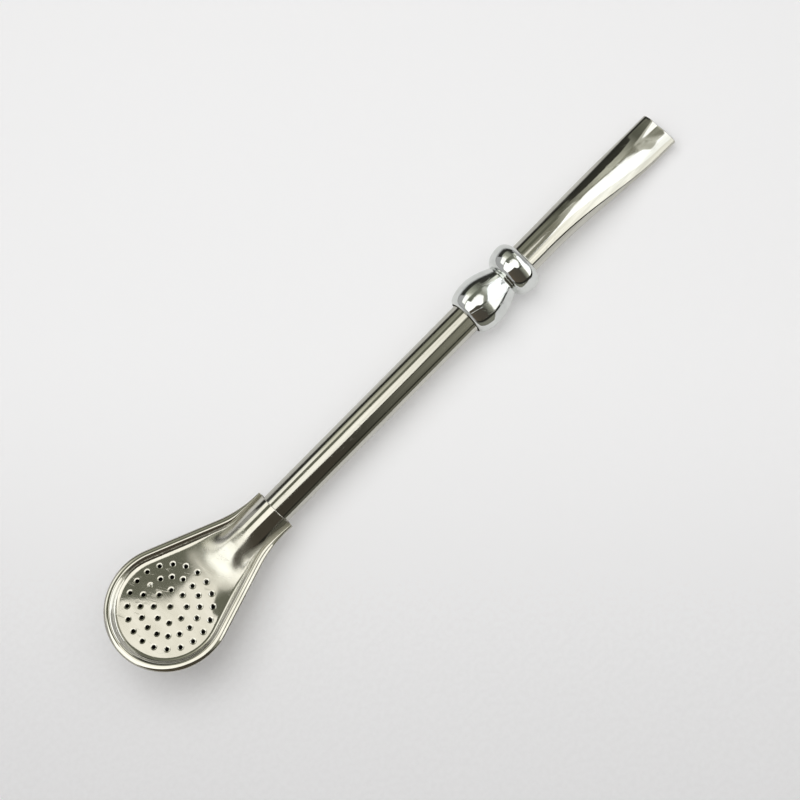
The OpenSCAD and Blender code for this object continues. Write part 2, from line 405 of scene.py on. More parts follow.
def facePoints():
    # outline, hole loops and a spread of inner points, as flat (x, y) with x = -t
    t, y, a, d = faceEdge()
    edgeT, edgeY = t + d * np.sin(a), y - d * np.cos(a)
    spread = np.radians(np.linspace(-90, 90, face["humpLines"]))
    endY = head["neckR"] * np.sin(spread)
    endT = head["neckR"] * np.cos(spread) * headSin
    outer = [(-p, q) for p, q in zip(edgeT, edgeY)]
    outer += [(-p, -q) for p, q in zip(edgeT[-2::-1], edgeY[-2::-1])]
    outer += [(-p, q) for p, q in zip(endT, endY)]
    loops, inner = [outer], []
    spokes = np.linspace(0, 2 * np.pi, face["holeSides"], endpoint=False)
    for ht, hy, shut in holes:
        loops.append(ringAround(ht, hy, face["holeR"], spokes))
        for k, r in enumerate(face["holeRings"]):
            inner += ringAround(ht, hy, r, spokes + (k + 1) * math.pi / face["holeSides"])
        if shut:
            for r in face["shutRings"]:
                inner += ringAround(ht, hy, r, spokes[::2])
    # lines along the hump, evenly turned about the tube
    for s in spread[1:-1]:
        hy, top = head["neckR"] * math.sin(s), head["neckR"] * math.cos(s)
        start = top * headSin
        stop = (top / headCos + face["humpOver"]) / headTan
        onward = np.arange(start + face["humpFrom"], stop, face["grid"])
        inner += [(-ht, hy) for ht in [start + x for x in face["endSteps"]] + list(onward)]
    # lines along the foot of the hump
    for off in face["footLines"]:
        for ht in np.arange(face["footFrom"], face["footLen"], face["footStep"]):
            inner += [(-ht, side * (float(footY(ht)) + off)) for side in (-1, 1)]
    # rings that follow the rim over the pressed step
    for d in np.arange(*face["stepRings"]):
        for p, q, lean in zip(t, y, a):
            ringT, ringY = p + d * math.sin(lean), q - d * math.cos(lean)
            if ringY > 0 and insetAt(ringT, ringY) > d - face["ringRoom"]:
                inner += [(-ringT, side * ringY) for side in (-1, 1)]
    step = face["grid"]
    for row, gy in enumerate(np.arange(*face["gridY"], step * face["rowShare"])):
        inner += [(-(gt + (row % 2) * step / 2), gy) for gt in np.arange(*face["gridT"], step)]
    return loops, np.array(inner)


def buildFace():
    loops, inner = facePoints()
    t, y = -inner[:, 0], inner[:, 1]
    room = np.maximum(head["neckR"] ** 2 - y * y, 0.0)
    keep = t > np.sqrt(room) * headSin + face["endRoom"]
    edgeT, _, _, edgeInset = faceEdge()
    keep &= insetAt(t, y) > np.interp(t, edgeT[:-1], edgeInset[:-1]) + face["edgeRoom"]
    for ht, hy, shut in holes:
        if not shut:
            keep &= np.hypot(t - ht, y - hy) > face["holeR"] + face["holeRoom"]
    off = np.abs(y) - footY(t)
    lines, free = np.array(face["footLines"]), face["footRoom"]
    strayed = (t < face["footLen"]) & (off > lines[0] - free) & (off < lines[-1] + free)
    onLine = np.min(np.abs(off[:, None] - lines), axis=1) < tiny
    keep &= ~strayed | onLine
    # thin out points that crowd each other, the first ones win
    cells = {}
    for p in inner[keep]:
        cells.setdefault((round(p[0] / face["crowdT"]), round(p[1] / face["crowdY"])), p)
    inner = np.array(list(cells.values()))
    points, edges = [], []
    for loop in loops:
        first = len(points)
        points += loop
        edges += [(first + k, first + (k + 1) % len(loop)) for k in range(len(loop))]
    # keep loose points off the loops
    tree = KDTree(len(points))
    for k, p in enumerate(points):
        tree.insert((p[0], p[1], 0), k)
    tree.balance()
    chosen = [tuple(p) for p in inner if tree.find((p[0], p[1], 0))[2] > face["loopRoom"]]
    verts, _, tris, _, _, _ = delaunay_2d_cdt([Vector(p) for p in points + chosen], edges, [], 1, tiny)
    flat = np.array([tuple(v) for v in verts])
    tris = np.array([tuple(f) for f in tris])
    centre = flat[tris].mean(1)
    inside = np.ones(len(tris), bool)
    for ht, hy, shut in holes:
        if not shut:
            inside &= np.hypot(-centre[:, 0] - ht, centre[:, 1] - hy) > face["holeR"] * face["holeClear"]
    tris = tris[inside]
    area = np.cross(flat[tris[:, 1]] - flat[tris[:, 0]], flat[tris[:, 2]] - flat[tris[:, 0]])
    tris[area < 0] = tris[area < 0][:, ::-1]
    used = np.unique(tris)
    renumber = -np.ones(len(flat), int)
    renumber[used] = np.arange(len(used))
    tris, flat = renumber[tris], flat[used]

    t, y = -flat[:, 0], flat[:, 1]
    h = face["slopeStep"]

    def struckHeight(t, y):
        return faceHeight(t, y) - dimpleSink(t, y)

    def normals(f):
        dt, dy = (f(t + h, y) - f(t - h, y)) / (2 * h), (f(t, y + h) - f(t, y - h)) / (2 * h)
        n = np.stack([dt, -dy, np.ones_like(dt)], -1)  # x = -t, so the first sign turns
        n = n / np.linalg.norm(n, axis=1, keepdims=True)
        return np.stack([n[:, 0] * headCos + n[:, 2] * headSin, n[:, 1],
                         -n[:, 0] * headSin + n[:, 2] * headCos], -1)

    plain, struck = normals(faceHeight), normals(struckHeight)
    level = struckHeight(t, y)
    top = headToFrame(t, y, level)
    under = headToFrame(*breakOut(t, y), level) - plain * (head["sheet"] - face["play"])
    count = len(top)
    faces = [tuple(int(i) for i in f) for f in tris]
    cornerNormals = [struck[i] for f in faces for i in f]
    lower = [tuple(int(i) + count for i in f[::-1]) for f in tris]
    cornerNormals += [-plain[i - count] for f in lower for i in f]
    # an edge that only one triangle has gets a wall down to the underside
    seen = {(f[k], f[(k + 1) % 3]): True for f in faces for k in range(3)}
    walls = [(b, a, a + count, b + count) for a, b in seen if (b, a) not in seen]
    allPoints = np.concatenate([top, under])
    for w in walls:
        p = allPoints[list(w)]
        n = np.cross(p[1] - p[0], p[3] - p[0])
        n = n / max(np.linalg.norm(n), 1e-12)
        cornerNormals += [n] * 4
    hidden = [False] * len(faces) + [True] * (len(lower) + len(walls))
    piece = makePiece("perforated_face", allPoints, faces + lower + walls,
                      "strainer_front", None, hidden)
    piece.data.normals_split_custom_set([tuple(n) for n in cornerNormals])
    setMask(piece, "dullShadedCrease", np.concatenate([dullShadedCreaseMask(t, y), np.zeros(count)]))
    setMask(piece, "drawn", np.concatenate([drawnMask(t, y), np.zeros(count)]))
    return piece


# back shell: bowl, lower half of the neck and the hem folded over the face

shell = {
    "seamUnder": -0.75,
    "split": -0.26,
    "fillet": 0.6,
    "neckSoft": 1.4,
    "flatSoft": 0.25,
    "hemSteps": 30,
    "foldSteps": 18,
    "wallSteps": 44,
    "endEase": 0.1,
    "rimStep": 0.34,
    "firstStep": 0.12,
    "deepest": -17.0,    # the skin is searched for between this and the rim
    "startZ": -4.0,
    "halvings": 44,
    "settle": 4,
    "edgeFrom": 0.15,
    "edgeRoom": 0.05,
    "filletLeast": 0.05,
    "filletShare": 0.85,
    "foldPlay": 0.02,
    "underSteps": 5,
    "filletSteps": 7,
    "bendShare": 0.6,
    "outFrom": 5.0,      # first turn of the wall outside and inside, in degrees
    "inFrom": 2.0,
    "tuckTop": 0.85,
    "tuckEase": 0.3,
    "tuckLow": 0.1,
    "sharp": 38.0,
}


def dropDistance(p):
    # signed distance to the bowl's ball drawn out to the neck, with the neck's own bar
    a = np.array([0.0, 0.0, head["bowlH"]])
    b = np.array([neckX - head["neckLen"], 0.0, tube["axisH"]])
    big, small = head["bowlR"], head["neckR"]
    ba = b - a
    l2, rr = ba @ ba, big - small
    a2, il2 = l2 - rr * rr, 1.0 / l2
    pa = p - a
    along = pa @ ba
    past = along - l2
    side2 = np.sum((pa * l2 - along[..., None] * ba) ** 2, -1)
    k = np.sign(rr) * rr * rr * side2
    y2, z2 = along * along * l2, past * past * l2
    cone = (np.sqrt(side2 * a2 * il2) + along * rr) * il2 - big
    cone = np.where(np.sign(along) * a2 * y2 < k, np.sqrt(side2 + y2) * il2 - big, cone)
    cone = np.where(np.sign(past) * a2 * z2 > k, np.sqrt(side2 + z2) * il2 - small, cone)
    bar = np.hypot(p[..., 1], p[..., 2] - tube["axisH"]) - head["neckR"]
    bar = np.maximum(bar, b[0] - p[..., 0])
    return softMin(cone, bar, shell["neckSoft"])


def findLevel(t, y, top, target):
    # height in the head's plane where the shell's skin lies under a place
    low, high = np.full_like(t, shell["deepest"]), np.full_like(t, top)
    for _ in range(shell["halvings"]):
        middle = 0.5 * (low + high)
        out = dropDistance(headToFrame(t, y, middle)) > target
        low, high = np.where(out, middle, low), np.where(out, high, middle)
    return 0.5 * (low + high)


def findEdge(t, y, a, length, level, target):
    # inset along each station's normal where the skin meets a level
    low, high = np.full_like(t, shell["edgeFrom"]), length - shell["edgeRoom"]
    for _ in range(shell["halvings"]):
        d = 0.5 * (low + high)
        p = headToFrame(t + d * np.sin(a), y - d * np.cos(a), np.full_like(t, level))
        out = dropDistance(p) > target
        low, high = np.where(out, d, low), np.where(out, high, d)
    return 0.5 * (low + high)


def buildShell():
    t, y, a = rimStations(shell["rimStep"])
    t, y, a = (np.insert(v, 1, w) for v, w in ((t, shell["firstStep"]), (y, y[0]), (a, a[0])))
    length = np.minimum(y / np.maximum(np.cos(a), 1e-3), head["rimR"])  # rim to middle line
    length[t > sideT - tiny] = head["rimR"]
    width = hemWidth(t, y, a)
    easing = np.zeros_like(t)
    easing[0] = shell["endEase"]
    fade = easeStep(1.0 - t / head["neckLen"])
    sheet = head["sheet"]

    edgeOut = findEdge(t, y, a, length, shell["seamUnder"], -easing)
    edgeIn = findEdge(t, y, a, length, shell["split"], -sheet + easing)
    room = np.maximum(edgeOut - hem["crest"] * width / seamInset, shell["filletLeast"])
    fillet = np.minimum(shell["fillet"], room * shell["filletShare"])

    outer, inner = [], []  # each row is (inset, height) for all stations
    shrink = width / seamInset
    crest = hem["crest"] * shrink
    for d in np.linspace(seamInset, hem["crest"], shell["foldSteps"])[:-1]:  # inner side of the hem
        outer.append((d * shrink, 0 * t + float(rimHeight(np.array(d)))))
        inner.append((np.maximum(d * shrink - shell["foldPlay"], crest), 0 * t + hem["seamTop"]))
    power = 2.0 / hem["square"]
    gap = np.maximum(crest - sheet, shell["foldPlay"])
    bend = shell["bendShare"]
    for turn in np.linspace(math.pi / 2, -math.pi / 2, shell["hemSteps"]):  # round the outer edge
        c, s = math.cos(turn), math.sin(turn)
        c, s = math.copysign(abs(c) ** power, c), math.copysign(abs(s) ** power, s)
        outer.append((crest * (1 - c), hem["half"] * s + 0 * t))
        inner.append((crest - gap * c, hem["seamTop"] * s + 0 * t))
    for share in np.linspace(0, 1, shell["underSteps"])[1:]:  # underside of the flange, then the fillet
        outer.append((crest + (edgeOut - fillet - crest) * share, 0 * t + shell["seamUnder"]))
        inner.append((crest + (edgeIn - crest) * share * bend, 0 * t + shell["split"]))
    for share in np.linspace(0, 1, shell["filletSteps"])[1:]:
        turn = share * math.pi / 2
        outer.append((edgeOut - fillet + fillet * math.sin(turn),
                      shell["seamUnder"] - fillet + fillet * math.cos(turn)))
        inner.append((crest + (edgeIn - crest) * (bend + (1 - bend) * share), 0 * t + shell["split"]))

    def placed(d, z):
        return headToFrame(t + d * np.sin(a) + z * headTan * fade, y - d * np.cos(a), z)

    outerRows = [placed(d, z) for d, z in outer]
    innerRows = [placed(d, z) for d, z in inner]
    soft = shell["flatSoft"]
    skins = ((outerRows, edgeOut, -easing, shell["seamUnder"], shell["outFrom"], 0.0),
             (innerRows, edgeIn, -sheet + easing, shell["split"], shell["inFrom"], sheet))
    for rows, edge, target, top, first, ground in skins:
        for turn in np.radians(np.linspace(first, 90.0, shell["wallSteps"])):
            d = length - (length - edge) * math.cos(turn)
            z = 0 * t + shell["startZ"]
            for _ in range(shell["settle"]):
                z = findLevel(t + d * np.sin(a) + z * headTan * fade, y - d * np.cos(a), top, target)
            p = placed(d, z)
            p[:, 2] = np.maximum(softMax(p[:, 2], 0 * t + ground, soft) - soft * 0.25, ground)
            rows.append(p)
    outerRows, innerRows = np.array(outerRows), np.array(innerRows)
    rows, count = outerRows.shape[:2]
    points, faces, hidden = [], [], []

    def addHalf(side):
        start = len(points)
        for grid in (outerRows, innerRows):
            points.extend((grid * np.array([1, side, 1])).reshape(-1, 3).tolist())
        shift = rows * count
        quads = []
        for r in range(rows - 1):
            for k in range(count - 1):
                p = start + r * count + k
                quads.append((p, p + 1, p + count + 1, p + count))
                q = p + shift
                quads.append((q, q + count, q + count + 1, q + 1))
                hidden.extend((False, True))
            p = start + r * count  # cut end of the neck
            quads.append((p, p + count, p + count + shift, p + shift))
            hidden.append(False)
        for k in range(count - 1):  # folded edge of the hem
            p = start + k
            quads.append((p, p + shift, p + shift + 1, p + 1))
            hidden.append(False)
        faces.extend(q if side > 0 else q[::-1] for q in quads)

    addHalf(1)
    addHalf(-1)
    piece = makePiece("back_shell", points, faces, "strainer_back",
                      shell["sharp"], hidden)
    placedPoints = np.array([tuple(v.co) for v in piece.data.vertices]) / mm
    along, rise = neckX - placedPoints[:, 0], placedPoints[:, 2] - tube["axisH"]
    headT, headZ = along * headCos + rise * headSin, rise * headCos - along * headSin
    # the crease mask, whose darker colour is painted shade, only on the hem's top side
    onTop = easeStep((shell["tuckTop"] - headZ) / shell["tuckEase"]) * (headZ > shell["tuckLow"])
    setMask(piece, "dullShadedCrease", dullShadedCreaseMask(headT, placedPoints[:, 1]) * onTop)
    return piece


# stem

stem = {
    "from": neckX - 12.0,
    "to": 94.353,
    "rings": 44,
    "sharp": 30.0,
}


def tubeProfile(x0, x1, rings):
    r, inner, ease = tube["outerR"], tube["outerR"] - tube["wall"], tube["endEase"]
    bevel = ease * tube["endRound"]
    outside = [(x, r) for x in np.linspace(x0 + ease, x1 - ease, rings)]
    inside = [(x, inner) for x in np.linspace(x1 - ease, x0 + ease, rings)]
    return ([(x0, r - ease), (x0 + bevel, r - bevel)] + outside
            + [(x1 - bevel, r - bevel), (x1, r - ease), (x1, inner + ease)] + inside
            + [(x0, inner + ease)])


def buildStem():
    return turnedPiece("stem_tube_polished", tubeProfile(stem["from"], stem["to"], stem["rings"]),
                       "stem_tube", stem["sharp"], tube["sides"])


# knop: two turned swells with a pinched waist

knop = {
    "from": 84.753,
    "length": 17.1,
    "lipR": 3.95,
    "lowerR": 5.625,
    "lowerAt": 4.5,
    "waistR": 3.7,
    "waistAt": 11.1,
    "upperR": 5.8,
    "upperAt": 14.9,
    "socketR": 3.53,
    "boreR": 3.0,
    "collar": (9.6, 12.6),
    "endEase": (0.04, 0.1),
    "lipDeep": 0.5,
    "lipSteps": ((0.12, 0.1), (0.0, 0.06)),
    "sharp": 50.0,
    "steps": 34,
    "sides": 160,
}


def buildKnop():
    k = knop
    turns = np.linspace(0, math.pi / 2, k["steps"])
    rise = [(k["lowerAt"] * (1 - math.cos(a)),
             k["lipR"] + (k["lowerR"] - k["lipR"]) * math.sin(a)) for a in turns]
    fall = [(k["lowerAt"] + (k["waistAt"] - k["lowerAt"]) * a / (math.pi / 2),
             k["waistR"] + (k["lowerR"] - k["waistR"]) * math.cos(a)) for a in turns[1:]]
    up = [(k["upperAt"] - (k["upperAt"] - k["waistAt"]) * math.cos(a),
           k["waistR"] + (k["upperR"] - k["waistR"]) * math.sin(a)) for a in turns[1:]]
    down = [(k["upperAt"] + (k["length"] - k["upperAt"]) * math.sin(a),
             k["waistR"] + (k["upperR"] - k["waistR"]) * math.cos(a)) for a in turns[1:]]
    c0, c1 = k["collar"]
    easeR, easeLen = k["endEase"]
    inside = [(k["length"], k["socketR"] + easeR), (k["length"] - easeLen, k["socketR"]),
              (c1, k["socketR"]), (c1, k["boreR"]), (c0, k["boreR"]), (c0, k["socketR"]),
              (k["lipDeep"], k["socketR"])]
    inside += [(x, k["lipR"] - thin) for x, thin in k["lipSteps"]]
    profile = [(k["from"] + x, r) for x, r in rise + fall + up + down + inside]
    return turnedPiece("knop_chrome_cast", profile, "knop", k["sharp"], k["sides"],
                       len(profile) - len(inside))


# mouthpiece: a round tube flattened into a dropped lip

mouth = {
    "from": 97.353,
    "flareFrom": 106.853,
    "lipLen": 5.0,
    "to": 142.953,
    "halfW": 4.5,
    "halfT": 1.6,
    "drop": 3.4,
    "square": 2.2,       # 2 is an oval section
    "late": 1.25,        # the tube flattens a little later than it widens
    "tail": 0.16,        # and goes on a little up to the end
    "tipSquare": 2.3,
    "tipLen": 9.0,
    "dentDeep": 0.33,    # three-sided dent pressed into the top at the end
    "dentLen": 6.5,
    "dentY": 0.45,
    "dentLeft": (0.25, 1.15),
    "dentRight": (0.3, 3.5),
    "dentSoft": 0.12,
    "dentBlend": 0.3,
    "dentGrow": 1.2,
    "cutEase": 0.1,
    "lipEase": 0.18,
    "lipTurns": (30, 60, 90),
    "boreSteps": ((0.03, 0.06), (0.12, 0.0)),
    "roundRings": 14,
    "rings": 110,
    "sides": 240,
    "sharp": 40.0,
}


def mouthRing(x, inset):
    m = mouth
    share = (x - m["flareFrom"]) / (m["to"] - m["lipLen"] - m["flareFrom"])
    soft = easeStep(share)
    run = max(x - m["flareFrom"], 0.0) / (m["to"] - m["flareFrom"])
    late = easeStep(max(share, 0.0) ** m["late"])
    late = (1.0 - m["tail"]) * late + m["tail"] * run ** 3
    halfW = tube["outerR"] + (m["halfW"] - tube["outerR"]) * soft - inset
    halfT = tube["outerR"] + (m["halfT"] - tube["outerR"]) * late - inset
    tip = easeStep((x - m["to"] + m["tipLen"]) / m["tipLen"])
    power = 2.0 + (m["square"] - 2.0) * soft + (m["tipSquare"] - m["square"]) * tip
    turns = np.linspace(0, 2 * np.pi, m["sides"], endpoint=False)
    c, s = np.cos(turns), np.sin(turns)
    y = halfW * c
    z = halfT * np.sign(s) * np.maximum(1.0 - np.abs(c) ** power, 0.0) ** (1.0 / power)
    along = min(max((x - m["to"] + m["dentLen"]) / m["dentLen"], 0.0), 1.0)
    wide = [w[0] + w[1] * along for w in (m["dentLeft"], m["dentRight"])]
    share = np.abs(y - m["dentY"]) / np.where(y > m["dentY"], *wide)
    dent = softMax(0.0 * y, 1.0 + m["dentSoft"] - np.hypot(share, m["dentSoft"]), m["dentBlend"])
    z = np.where(s > 0, z - m["dentDeep"] * along ** m["dentGrow"] * dent, z)
    return np.stack([np.full(m["sides"], x), y, tube["axisH"] - m["drop"] * late + z], -1)


def buildMouth():
    m, ease, cut, wall = mouth, mouth["lipEase"], mouth["cutEase"], tube["wall"]
    along = np.concatenate([np.linspace(m["from"] + cut, m["flareFrom"], m["roundRings"])[:-1],
                            np.linspace(m["flareFrom"], m["to"] - ease, m["rings"])])
    steps = [(m["from"], cut)] + [(x, 0.0) for x in along]
    steps += [(m["to"] - ease * (1 - math.sin(a)), ease * (1 - math.cos(a)))
              for a in np.radians(m["lipTurns"])]
    steps += [(m["to"] - x, wall - thin) for x, thin in m["boreSteps"]]
    steps += [(x, wall) for x in along[::-1][1:]] + [(m["from"], wall - cut)]
    points, faces = ringSkin([mouthRing(x, inset) for x, inset in steps])
    return makePiece("mouth_tube_flared", points, faces, "mouth_tube", m["sharp"])


facePiece = buildFace()
shellPiece = buildShell()
stemPiece = buildStem()
knopPiece = buildKnop()
mouthPiece = buildMouth()


# finishes

def newGroup(name, inputs, outputs):
    group = bpy.data.node_groups.new(name, "ShaderNodeTree")
    for label, kind, value in inputs:
        socket = group.interface.new_socket(label, in_out="INPUT", socket_type=kind)
        if value is not None:
            socket.default_value = value
    for label, kind in outputs:
        group.interface.new_socket(label, in_out="OUTPUT", socket_type=kind)
    return group, group.nodes.new("NodeGroupInput"), group.nodes.new("NodeGroupOutput")


def feed(tree, value, socket):
    # a number, a colour or another node's output
    if isinstance(value, (int, float)):
        socket.default_value = value
    elif isinstance(value, tuple):
        socket.default_value = (*value, 1.0)
    else:
        tree.links.new(value, socket)


def mathNode(tree, operation, a, b=None, clamp=False):
    node = tree.nodes.new("ShaderNodeMath")
    node.operation = operation
    node.use_clamp = clamp
    feed(tree, a, node.inputs[0])
    if b is not None:
        feed(tree, b, node.inputs[1])
    return node.outputs[0]


def noiseNode(tree, vector, scale, detail, rough=0.55):
    node = tree.nodes.new("ShaderNodeTexNoise")
    given = (("Vector", vector), ("Scale", scale), ("Detail", detail), ("Roughness", rough))
    for label, value in given:
        feed(tree, value, node.inputs[label])
    return node.outputs["Fac"]


def spreadNode(tree, value, low, high):
    node = tree.nodes.new("ShaderNodeMapRange")
    node.interpolation_type = "SMOOTHSTEP"
    for label, given in (("Value", value), ("From Min", low), ("From Max", high)):
        feed(tree, given, node.inputs[label])
    return node.outputs["Result"]


grainMake = {"detail": 5.0, "rough": 0.65, "coarse": 0.22, "coarseDetail": 3.0, "streak": (0.35, 0.68)}
marksMake = {"detail": 4.0, "rough": 0.6, "small": 9.0, "smallDetail": 2.0,
             "smudge": (0.46, 0.72), "speck": (0.66, 0.76)}
scratchMake = {"draw": (0.12, 1.0, 1.0), "detail": 2.0, "thin": (0.012, 0.0),
               "breakSize": 420.0, "breaks": (0.5, 0.62)}


def polishGrainGroup():
    # fine lines of the polishing belt, drawn out along one direction
    group, given, out = newGroup(
        "polishGrain",
        [("Vector", "NodeSocketVector", None), ("Stretch", "NodeSocketVector", (1, 1, 1)),
         ("Fineness", "NodeSocketFloat", 900.0)],
        [("Height", "NodeSocketFloat"), ("Streak", "NodeSocketFloat")])
    stretched = group.nodes.new("ShaderNodeVectorMath")
    stretched.operation = "MULTIPLY"
    group.links.new(given.outputs["Vector"], stretched.inputs[0])
    group.links.new(given.outputs["Stretch"], stretched.inputs[1])
    make, fineness = grainMake, given.outputs["Fineness"]
    fine = noiseNode(group, stretched.outputs[0], fineness, make["detail"], make["rough"])
    wider = mathNode(group, "MULTIPLY", fineness, make["coarse"])
    coarse = noiseNode(group, stretched.outputs[0], wider, make["coarseDetail"])
    group.links.new(fine, out.inputs["Height"])
    group.links.new(spreadNode(group, coarse, *make["streak"]), out.inputs["Streak"])
    return group


def handlingGroup():
    # smudges and water marks left by use
    group, given, out = newGroup(
        "handlingMarks",
        [("Vector", "NodeSocketVector", None), ("Size", "NodeSocketFloat", 160.0)],
        [("Smudge", "NodeSocketFloat"), ("Speck", "NodeSocketFloat")])
    make, place, size = marksMake, given.outputs["Vector"], given.outputs["Size"]
    cloud = noiseNode(group, place, size, make["detail"], make["rough"])
    speck = noiseNode(group, place, mathNode(group, "MULTIPLY", size, make["small"]), make["smallDetail"])
    group.links.new(spreadNode(group, cloud, *make["smudge"]), out.inputs["Smudge"])
    group.links.new(spreadNode(group, speck, *make["speck"]), out.inputs["Speck"])
    return group


def scratchGroup():
    # a few hair scratches that wander across the polish
    group, given, out = newGroup(
        "hairScratches",
        [("Vector", "NodeSocketVector", None), ("Turn", "NodeSocketFloat", 0.6),
         ("Fineness", "NodeSocketFloat", 240.0)],
        [("Line", "NodeSocketFloat")])
    turned = group.nodes.new("ShaderNodeVectorRotate")
    turned.rotation_type = "Z_AXIS"
    group.links.new(given.outputs["Vector"], turned.inputs["Vector"])
    group.links.new(given.outputs["Turn"], turned.inputs["Angle"])
    drawn = group.nodes.new("ShaderNodeVectorMath")
    drawn.operation = "MULTIPLY"
    make = scratchMake
    drawn.inputs[1].default_value = make["draw"]
    group.links.new(turned.outputs[0], drawn.inputs[0])
    wander = noiseNode(group, drawn.outputs[0], given.outputs["Fineness"], make["detail"])
    line = mathNode(group, "ABSOLUTE", mathNode(group, "SUBTRACT", wander, 0.5))
    thin = spreadNode(group, line, *make["thin"])
    patches = noiseNode(group, given.outputs["Vector"], make["breakSize"], make["detail"])
    breaks = spreadNode(group, patches, *make["breaks"])
    group.links.new(mathNode(group, "MULTIPLY", thin, breaks), out.inputs["Line"])
    return group


polishGrain, handlingMarks, hairScratches = polishGrainGroup(), handlingGroup(), scratchGroup()


def groupNode(tree, group, vector, **values):
    node = tree.nodes.new("ShaderNodeGroup")
    node.node_tree = group
    tree.links.new(vector, node.inputs["Vector"])
    for label, value in values.items():
        node.inputs[label].default_value = value
    return node


def mixColour(tree, factor, a, b):
    node = tree.nodes.new("ShaderNodeMix")
    node.data_type = "RGBA"
    for value, socket in ((factor, node.inputs["Factor"]), (a, node.inputs[6]), (b, node.inputs[7])):
        feed(tree, value, socket)
    return node.outputs[2]


def maskNode(tree, name):
    node = tree.nodes.new("ShaderNodeAttribute")
    node.attribute_name = name
    return node.outputs["Fac"]


def newFinish(name):
    material = bpy.data.materials.new(name)
    material.use_nodes = True
    tree = material.node_tree
    coordinates = tree.nodes.new("ShaderNodeTexCoord").outputs
    return material, tree, tree.nodes["Principled BSDF"], coordinates


def metalFinish(name, look):
    material, tree, shader, coordinates = newFinish(name)
    place = coordinates["Object"]
    shader.inputs["Metallic"].default_value = 1.0
    grain = groupNode(tree, polishGrain, place, Stretch=look["stretch"], Fineness=look["fineness"])
    marks = groupNode(tree, handlingMarks, place, Size=look["smudgeSize"])
    scratch = groupNode(tree, hairScratches, place, Turn=look["scratchTurn"],
                        Fineness=look["scratchFineness"])
    colour = mixColour(tree, grain.outputs["Streak"], look["colour"], look["streakColour"])
    smudge, dullShadedCrease = marks.outputs["Smudge"], maskNode(tree, "dullShadedCrease")
    # the crease mask darkens the colour there: painted shade
    for mask, amount in ((smudge, "smudge"), (dullShadedCrease, "dullShadedCrease")):
        share = mathNode(tree, "MULTIPLY", mask, look[amount])
        colour = mixColour(tree, share, colour, look[amount + "Colour"])
    tree.links.new(colour, shader.inputs["Base Color"])
    rough = mathNode(tree, "MULTIPLY_ADD", grain.outputs["Streak"], look["streakRough"])
    rough.node.inputs[2].default_value = look["rough"]
    line, drawn = scratch.outputs["Line"], maskNode(tree, "drawn")
    for mask, amount in ((smudge, "smudgeRough"), (dullShadedCrease, "tuckRough"),
                         (drawn, "drawnRough"), (line, "scratchRough")):
        rough = mathNode(tree, "ADD", rough, mathNode(tree, "MULTIPLY", mask, look[amount]), True)
    tree.links.new(rough, shader.inputs["Roughness"])
    height = mathNode(tree, "MULTIPLY", grain.outputs["Height"], look["grainHeight"])
    for mask, amount in ((line, "scratchDeep"), (marks.outputs["Speck"], "speckDeep")):
        height = mathNode(tree, "SUBTRACT", height, mathNode(tree, "MULTIPLY", mask, look[amount]))
    bump = tree.nodes.new("ShaderNodeBump")
    bump.inputs["Strength"].default_value = look["bump"]
    bump.inputs["Distance"].default_value = look["bumpDeep"]
    tree.links.new(height, bump.inputs["Height"])
    tree.links.new(bump.outputs[0], shader.inputs["Normal"])
    return material


tubeSteelLook = {
    "colour": (0.58, 0.57, 0.515),
    "streakColour": (0.43, 0.42, 0.37),
    "stretch": (0.02, 1.0, 1.0),
    "fineness": 2600.0,
    "smudgeSize": 140.0,
    "smudge": 0.25,
    "smudgeColour": (0.46, 0.45, 0.39),
    "scratchTurn": 0.35,
    "scratchFineness": 260.0,
    # darker colour in the creases: painted shade
    "dullShadedCrease": 0.45,
    "dullShadedCreaseColour": (0.34, 0.33, 0.27),
    "tuckRough": 0.38,
    "drawnRough": 0.21,
    "rough": 0.05,
    "streakRough": 0.05,
    "smudgeRough": 0.03,
    "scratchRough": 0.12,
    "grainHeight": 0.5,
    "scratchDeep": 0.4,
    "speckDeep": 0.3,
    "bump": 0.4,
    "bumpDeep": 0.00002,
}
strainerSteelLook = {
    **tubeSteelLook,
    "colour": (0.6, 0.585, 0.525),
    "streakColour": (0.55, 0.535, 0.47),
    "stretch": (1.0, 0.25, 1.0),
    "fineness": 1500.0,
    "scratchTurn": 1.1,
    "rough": 0.03,
    "streakRough": 0.03,
    "smudgeRough": 0.03,
    "speckDeep": 0.0,
    "bump": 0.06,
}
knopLook = {
    **tubeSteelLook,
    "colour": (0.69, 0.705, 0.685),
    "streakColour": (0.61, 0.625, 0.605),
    "smudgeColour": (0.5, 0.51, 0.48),
    "smudgeSize": 420.0,
    "smudge": 0.35,
    "stretch": (1.0, 0.6, 0.6),
    "fineness": 500.0,
    "rough": 0.05,
    "streakRough": 0.06,
    "smudgeRough": 0.05,
    "speckDeep": 0.05,
    "bump": 0.3,
    "bumpDeep": 0.00012,
}
# dark, rough finish for the faces inside the head and in the knop's socket: painted shade in the hollows
shadedInsideLook = {
    **strainerSteelLook,
    "colour": (0.16, 0.155, 0.13),
    "streakColour": (0.12, 0.115, 0.095),
    "smudgeColour": (0.09, 0.085, 0.07),
    "rough": 0.5,
    "streakRough": 0.12,
    "bump": 0.3,
}
tubeSteel = metalFinish("tubeSteel", tubeSteelLook)
strainerInsideShade = metalFinish("strainerInsideShade", shadedInsideLook)
strainerSteel = metalFinish("strainerSteel", strainerSteelLook)
knopChrome = metalFinish("knopChrome", knopLook)
for piece, finish in ((facePiece, strainerSteel), (shellPiece, strainerSteel), (stemPiece, tubeSteel),
                      (knopPiece, knopChrome), (mouthPiece, tubeSteel)):
    piece.data.materials.append(finish)
for piece in (facePiece, shellPiece, knopPiece):
    piece.data.materials.append(strainerInsideShade)
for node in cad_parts.values():
    node.data.materials.clear()
    node.data.materials.append(tubeSteel)
print("finishes set")


# sheet of pale paper under it

